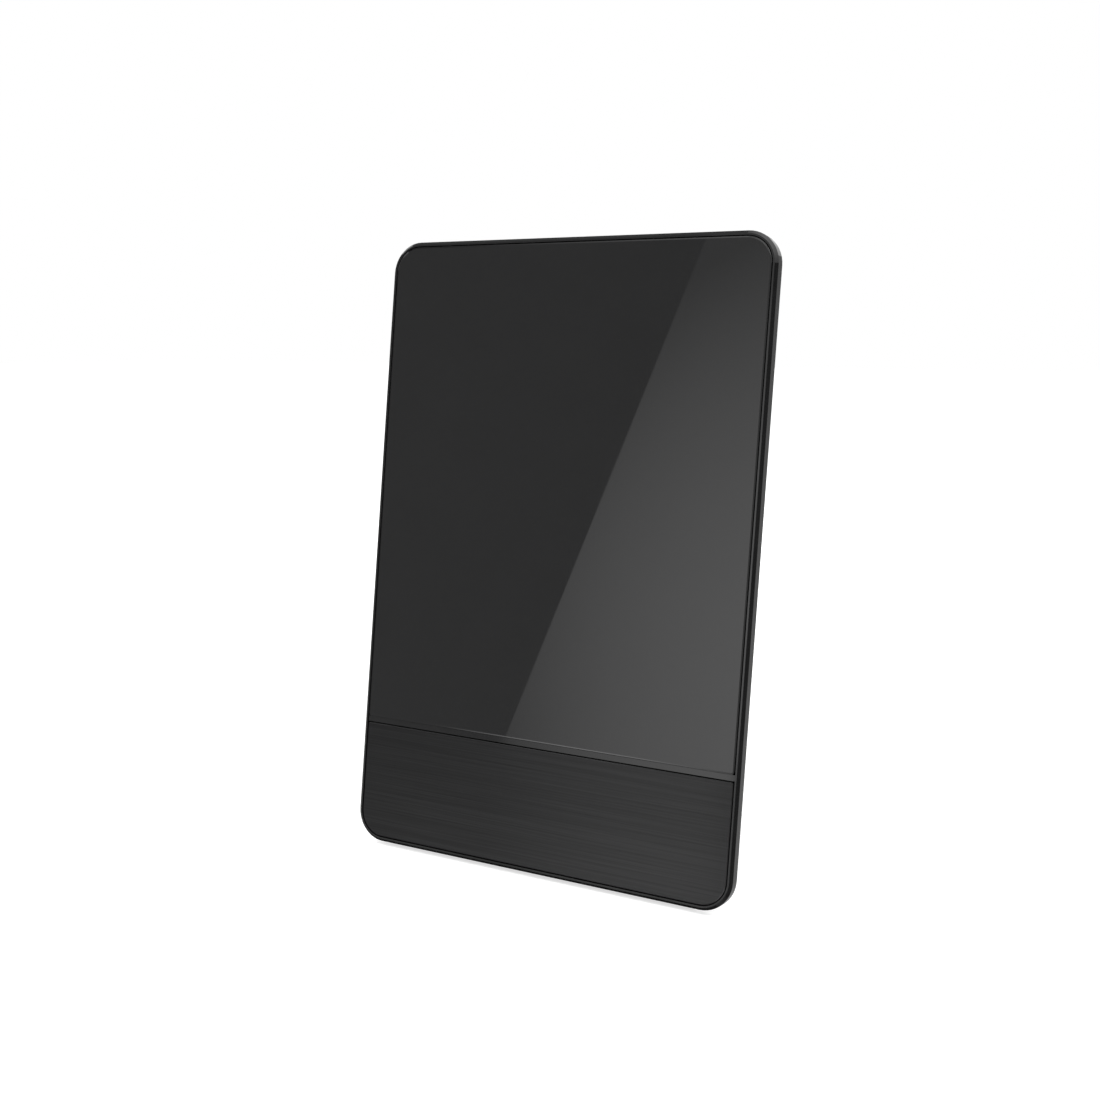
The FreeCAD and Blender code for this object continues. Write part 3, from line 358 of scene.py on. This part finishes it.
def make_nut():
    """Hexagon nut whose corners are turned off at 30 degrees on its outer face."""
    segments = 96
    face_share = 0.97
    slope = math.tan(math.radians(30))
    inside = THREAD_CREST
    inner_lead = 0.4 * MILLIMETRE
    low, high = slab_box("socket_nut")
    width, height = high[0] - low[0], high[1] - low[1]
    flat = min(width, height) / 2
    first_flat = 0.0 if width < height else math.pi / 6
    turned_off = flat * face_share

    def hexagon(angle):
        side = (angle - first_flat + math.pi / 6) % (math.pi / 3) - math.pi / 6
        return flat / math.cos(side)

    def shoulder(angle):
        return high[2] - (hexagon(angle) - turned_off) * slope

    def ring(depth, radius):
        return turned_ring(depth, radius, segments)

    rings = [ring(low[2], inside), ring(low[2], hexagon), ring(shoulder, hexagon),
             ring(high[2], turned_off), ring(high[2], inside + inner_lead), ring(high[2] - inner_lead, inside)]
    link_piece("chamfered_nut", *ring_mesh(rings), "nickel", "socket_nut")


make_barrel()
make_nut()


# Fine edges of the glass and the leg

def soften(node, width):
    """Rounds a node's sharp edges by a small radius."""
    segments = 3
    sharp_angle = math.radians(32)
    merge_distance = 0.002 * MILLIMETRE
    piece = NODES[node]
    weld = piece.modifiers.new("weld", "WELD")
    weld.merge_threshold = merge_distance
    bevel = piece.modifiers.new("fine_edges", "BEVEL")
    bevel.width = width
    bevel.segments = segments
    bevel.limit_method = "ANGLE"
    bevel.angle_limit = sharp_angle
    bevel.use_clamp_overlap = False
    bevel.harden_normals = True


soften("glass_panel", 0.22 * MILLIMETRE)
soften("stand_leg", 0.35 * MILLIMETRE)


# Studio, whose levels of light are shares of the white background

GLASS_LOW, GLASS_HIGH = slab_box("glass_panel")
TRIM_LOW, TRIM_HIGH = slab_box("brushed_panel")
TRIM_RADIUS = 10.2 * MILLIMETRE
CAMERA_OWN = [(CAMERA_PLACE - SLAB_FOOT).dot(axis) for axis in (ACROSS, UP, BACK)]
GROUND_LIGHT = 0.45
LAMP_AIM = Vector((0, 0, 0.12))


def link_stage(name, points, faces, material):
    """Mesh that belongs to the studio and not to the part."""
    mesh = bpy.data.meshes.new(name)
    mesh.from_pydata(points, [], faces)
    mesh.materials.append(material)
    card = bpy.data.objects.new(name, mesh)
    bpy.context.scene.collection.objects.link(card)
    return card


def seen_rays(tree):
    """1 for what the camera sees, straight or in a mirror or through glass."""
    path = tree.nodes.new("ShaderNodeLightPath")
    total = path.outputs["Is Camera Ray"]
    for name in ("Is Glossy Ray", "Is Transmission Ray"):
        either = tree.nodes.new("ShaderNodeMath")
        either.operation = "MAXIMUM"
        tree.links.new(total, either.inputs[0])
        tree.links.new(path.outputs[name], either.inputs[1])
        total = either.outputs["Value"]
    return total


def make_world():
    """White to look at, and a soft fill light."""
    fill_strength = 0.45
    world = bpy.data.worlds.new("studio")
    world.use_nodes = True
    bpy.context.scene.world = world
    tree = world.node_tree
    background = tree.nodes["Background"]
    background.inputs["Color"].default_value = (1, 1, 1, 1)
    strength = tree.nodes.new("ShaderNodeMapRange")
    strength.inputs["To Min"].default_value = fill_strength
    strength.inputs["To Max"].default_value = 1.0
    tree.links.new(seen_rays(tree), strength.inputs["Value"])
    tree.links.new(strength.outputs["Result"], background.inputs["Strength"])


def make_floor():
    """Pale floor that keeps the object's shadow. Its own light makes it white, more so far off."""
    tone = (0.6, 0.6, 0.6, 1)
    own_light, far_light = 0.66, 1.0
    near, far = 0.25, 1.1
    half = 8.0
    material = bpy.data.materials.new("pale_floor")
    material.use_nodes = True
    tree = material.node_tree
    tree.nodes.remove(tree.nodes["Principled BSDF"])
    diffuse = tree.nodes.new("ShaderNodeBsdfDiffuse")
    diffuse.inputs["Color"].default_value = tone
    place = tree.nodes.new("ShaderNodeTexCoord")
    distance = tree.nodes.new("ShaderNodeVectorMath")
    distance.operation = "LENGTH"
    spread = tree.nodes.new("ShaderNodeMapRange")
    spread.interpolation_type = "SMOOTHSTEP"
    spread.inputs["From Min"].default_value = near
    spread.inputs["From Max"].default_value = far
    spread.inputs["To Min"].default_value = own_light
    spread.inputs["To Max"].default_value = far_light
    strength = tree.nodes.new("ShaderNodeMath")
    strength.operation = "MULTIPLY"
    glow = tree.nodes.new("ShaderNodeEmission")
    both = tree.nodes.new("ShaderNodeAddShader")
    tree.links.new(place.outputs["Object"], distance.inputs[0])
    tree.links.new(distance.outputs["Value"], spread.inputs["Value"])
    tree.links.new(spread.outputs["Result"], strength.inputs[0])
    tree.links.new(seen_rays(tree), strength.inputs[1])
    tree.links.new(strength.outputs["Value"], glow.inputs["Strength"])
    tree.links.new(diffuse.outputs["BSDF"], both.inputs[0])
    tree.links.new(glow.outputs["Emission"], both.inputs[1])
    tree.links.new(both.outputs["Shader"], tree.nodes["Material Output"].inputs["Surface"])
    corners = [(-half, -half, 0), (half, -half, 0), (half, half, 0), (-half, half, 0)]
    floor = link_stage("floor", corners, [(0, 1, 2, 3)], material)
    floor.visible_glossy = False


def make_lamp(name, place, width, watts):
    """Round soft lamp that faces the slab."""
    lamp = bpy.data.lights.new(name, "AREA")
    lamp.shape = "DISK"
    lamp.size = width
    lamp.energy = watts
    holder = bpy.data.objects.new(name, lamp)
    holder.location = place
    holder.rotation_euler = (LAMP_AIM - Vector(place)).to_track_quat("-Z", "Y").to_euler()
    bpy.context.scene.collection.objects.link(holder)


def card_material(name, strength=1.0):
    """Plain glow of one strength, which a fade, a dome or a rise can vary later."""
    material = bpy.data.materials.new(name)
    material.use_nodes = True
    tree = material.node_tree
    tree.nodes.remove(tree.nodes["Principled BSDF"])
    glow = tree.nodes.new("ShaderNodeEmission")
    glow.inputs["Strength"].default_value = strength
    tree.links.new(glow.outputs["Emission"], tree.nodes["Material Output"].inputs["Surface"])
    return material


def card_fade(material, axis, start, end, first, last):
    """Brightness that changes evenly along one axis of the card's own coordinates."""
    tree = material.node_tree
    place = tree.nodes.new("ShaderNodeTexCoord")
    parts = tree.nodes.new("ShaderNodeSeparateXYZ")
    spread = tree.nodes.new("ShaderNodeMapRange")
    for socket, value in (("From Min", start), ("From Max", end), ("To Min", first), ("To Max", last)):
        spread.inputs[socket].default_value = value
    tree.links.new(place.outputs["Object"], parts.inputs["Vector"])
    tree.links.new(parts.outputs[axis], spread.inputs["Value"])
    tree.links.new(spread.outputs["Result"], tree.nodes["Emission"].inputs["Strength"])


def card_dome(material, centre, reach, peak, edge, ease="LINEAR"):
    """Brightness with one peak, falling with the square of the distance to an even level at its reach."""
    tree = material.node_tree
    place = tree.nodes.new("ShaderNodeTexCoord")
    mapping = tree.nodes.new("ShaderNodeMapping")
    mapping.vector_type = "TEXTURE"
    mapping.inputs["Location"].default_value = (*centre, 0)
    mapping.inputs["Scale"].default_value = (*reach, 1)
    square = tree.nodes.new("ShaderNodeVectorMath")
    square.operation = "DOT_PRODUCT"
    spread = tree.nodes.new("ShaderNodeMapRange")
    spread.interpolation_type = ease
    spread.inputs["To Min"].default_value = peak
    spread.inputs["To Max"].default_value = edge
    tree.links.new(place.outputs["Object"], mapping.inputs["Vector"])
    for side in (0, 1):
        tree.links.new(mapping.outputs["Vector"], square.inputs[side])
    tree.links.new(square.outputs["Value"], spread.inputs["Value"])
    tree.links.new(spread.outputs["Result"], tree.nodes["Emission"].inputs["Strength"])


def card_rise(material, low, high, level):
    """Lets a card's brightness rise from a level to its own between two heights."""
    tree = material.node_tree
    strength = tree.nodes["Emission"].inputs["Strength"]
    place = tree.nodes.new("ShaderNodeTexCoord")
    split = tree.nodes.new("ShaderNodeSeparateXYZ")
    rise = tree.nodes.new("ShaderNodeMapRange")
    rise.interpolation_type = "SMOOTHSTEP"
    rise.inputs["From Min"].default_value = low
    rise.inputs["From Max"].default_value = high
    rise.inputs["To Min"].default_value = level
    tree.links.new(place.outputs["Object"], split.inputs["Vector"])
    tree.links.new(split.outputs["Y"], rise.inputs["Value"])
    tree.links.new(strength.links[0].from_socket, rise.inputs["To Max"])
    tree.links.new(rise.outputs["Result"], strength)


def reflection_card(name, points, material):
    """A card that only mirrors see."""
    card = link_stage(name, points, [tuple(range(len(points)))], material)
    card.visible_camera = False
    card.visible_diffuse = False
    card.visible_transmission = False
    card.visible_volume_scatter = False
    card.visible_shadow = False
    return card


def edge_across(up):
    """Where the mirrored edge lies at a height."""
    share = (up - EDGE_FOOT[1]) / (EDGE_HEAD[1] - EDGE_FOOT[1])
    return EDGE_FOOT[0] + (EDGE_HEAD[0] - EDGE_FOOT[0]) * share


def mirrored(card, distance):
    """Puts a card that is drawn on the glass where the camera sees it mirrored there."""
    stretch = distance / (GLASS_LOW[2] - CAMERA_OWN[2])
    corner = slab_point(-stretch * CAMERA_OWN[0], -stretch * CAMERA_OWN[1], GLASS_LOW[2] - distance)
    turn = Matrix((ACROSS, UP, -BACK)).transposed().to_4x4()
    card.matrix_world = Matrix.Translation(corner) @ turn @ Matrix.Scale(1 + stretch, 4)


def make_softbox():
    """Cards that the face mirrors: dark ones left of a slanting edge, lit ones right of it, one below."""
    distance = 1.0
    over, beside, blend = 0.12, 0.20, 0.06
    overlap = 0.4 * MILLIMETRE
    low, sole, middle, high = -0.22, TRIM_LOW[1], GLASS_LOW[1], GLASS_HIGH[1] + over
    left, side, right = GLASS_LOW[0] - beside, TRIM_HIGH[0] + overlap, 0.50
    bend = [(side - TRIM_RADIUS * (1 - math.sin(turn)), sole + TRIM_RADIUS * (1 - math.cos(turn)), 0)
            for turn in (math.radians(angle) for angle in range(0, 91, 15))]
    foot, waist, head = edge_across(sole), edge_across(middle), edge_across(high)
    lit, lit_side = card_material("lit_card"), card_material("lit_side_card")
    for material in (lit, lit_side):
        card_dome(material, centre=(0.1254, 0.0758), reach=(0.1570, 0.1838), peak=1.84, edge=GROUND_LIGHT)
    card_rise(lit_side, middle, middle + blend, GROUND_LIGHT)
    dark = card_material("dark_card")
    card_fade(dark, "Y", GLASS_LOW[1], GLASS_HIGH[1], 0.34, 0.27)
    dim = card_material("dim_card")
    card_fade(dim, "Y", middle - blend, middle, 0.9, 0.34)
    under = card_material("sole_card", GROUND_LIGHT)
    outlines = {
        "dark_card": (dark, [(left, middle, 0), (waist, middle, 0), (head, high, 0), (left, high, 0)]),
        "dim_card": (dim, [(left, sole, 0), (foot, sole, 0), (waist, middle, 0), (left, middle, 0)]),
        "lit_card": (lit, [(foot, sole, 0), *bend, (side, high, 0), (head, high, 0)]),
        "lit_side_card": (lit_side, [(side, middle, 0), (right, middle, 0),
                                     (right, high, 0), (side, high, 0)]),
        "sole_card": (under, [(left, low, 0), (right, low, 0), (right, middle, 0), (side, middle, 0),
                              *reversed(bend), (left, sole, 0)]),
    }
    for name, (material, corners) in outlines.items():
        mirrored(reflection_card(name, corners, material), distance)


def level_card(name, height, x_range, y_range, strength=1.0):
    """Level card at a height, between two places along X and two along Y."""
    corners = [(x_range[0], y_range[0], height), (x_range[1], y_range[0], height),
               (x_range[1], y_range[1], height), (x_range[0], y_range[1], height)]
    material = card_material(name, strength)
    reflection_card(name, corners, material)
    return material


def upright_card(name, axis, place, across, heights, strength=1.0):
    """Upright card at a place along X or Y, from side to side and from foot to head."""
    corners = [(across[0], heights[0]), (across[1], heights[0]),
               (across[1], heights[1]), (across[0], heights[1])]
    points = [(place, side, z) if axis == "X" else (side, place, z) for side, z in corners]
    material = card_material(name, strength)
    reflection_card(name, points, material)
    return material


def slab_card(name, corners, strength=1.0):
    """Card given in the slab's own coordinates."""
    material = card_material(name, strength)
    reflection_card(name, [slab_point(*corner) for corner in corners], material)
    return material


def make_flags():
    """Dark and bright cards round the slab, each for one run of its polished edges."""
    beside, over, roof_start = 0.13, 0.30, 0.055
    left_side, below = -1.42, -0.05
    corner_foot, corner_head = 0.256, 0.33
    slab_card("right_flag", [(beside, -0.06, -0.045), (beside, -0.06, -0.001),
                             (beside, corner_foot, -0.001), (beside, corner_foot, -0.045)], 0.07)
    corner = slab_card("corner_card", [(beside, corner_foot, -0.05), (beside, corner_foot, 0.03),
                                       (beside, corner_head, 0.03), (beside, corner_head, -0.05)])
    card_fade(corner, "Z", 0.253, 0.285, 0.7, 1.6)
    roof = slab_card("corner_roof", [(roof_start, over, -0.04), (beside, over, -0.04),
                                     (beside, over, 0.05), (roof_start, over, 0.05)])
    card_fade(roof, "X", roof_start, 0.090, 0.5, 1.8)
    upright_card("left_flag", "X", left_side, (-1.05, 0.0), (-0.60, 0.90), 0.05)
    left_wall = upright_card("left_wall_card", "X", left_side, (0.60, 1.40), (-0.70, 0.70))
    card_fade(left_wall, "Z", -0.35, 0.15, 0.4, 0.04)
    wall = upright_card("wall_card", "Y", 0.8, (-0.35, 0.75), (-0.75, 0.40))
    card_fade(wall, "Z", -0.45, 0.30, 0.58, 0.34)
    level_card("top_card", 1.0, (-1.20, -0.20), (0.12, 0.60), 0.21)
    ceiling = level_card("ceiling_card", 1.02, (-1.20, 0.30), (-0.95, 0.10))
    card_fade(ceiling, "X", -0.66, -0.24, 0.0, 1.45)
    level_card("foot_flag", below, (-0.25, 0.09), (-0.035, 0.08), 0.02)
    low_corner = level_card("corner_flag", below, (0.09, 0.20), (-0.06, 0.03))
    card_fade(low_corner, "X", 0.10, 0.157, 0.25, 0.07)
    level_card("ground_card", -0.60, (-1.40, 1.20), (-1.25, 0.35), GROUND_LIGHT)
    apron = level_card("apron_card", -0.59, (-0.80, -0.15), (-0.94, -0.60))
    card_dome(apron, centre=(-0.478, -0.767), reach=(0.277, 0.163), peak=3.6, edge=GROUND_LIGHT,
              ease="SMOOTHSTEP")
    table = level_card("table_card", -0.005, (-0.10, 0.105), (-0.055, -0.020))
    card_fade(table, "X", -0.10, 0.04, GROUND_LIGHT, 2.9)


make_world()
make_floor()
make_softbox()
make_flags()
make_lamp("key_lamp", (-0.75, -0.75, 1.35), 0.9, 15)
make_lamp("fill_lamp", (0.95, -0.55, 1.15), 0.8, 6)
make_lamp("back_lamp", (0.35, 1.15, 1.10), 0.9, 14)

bpy.context.scene.view_settings.view_transform = "Standard"
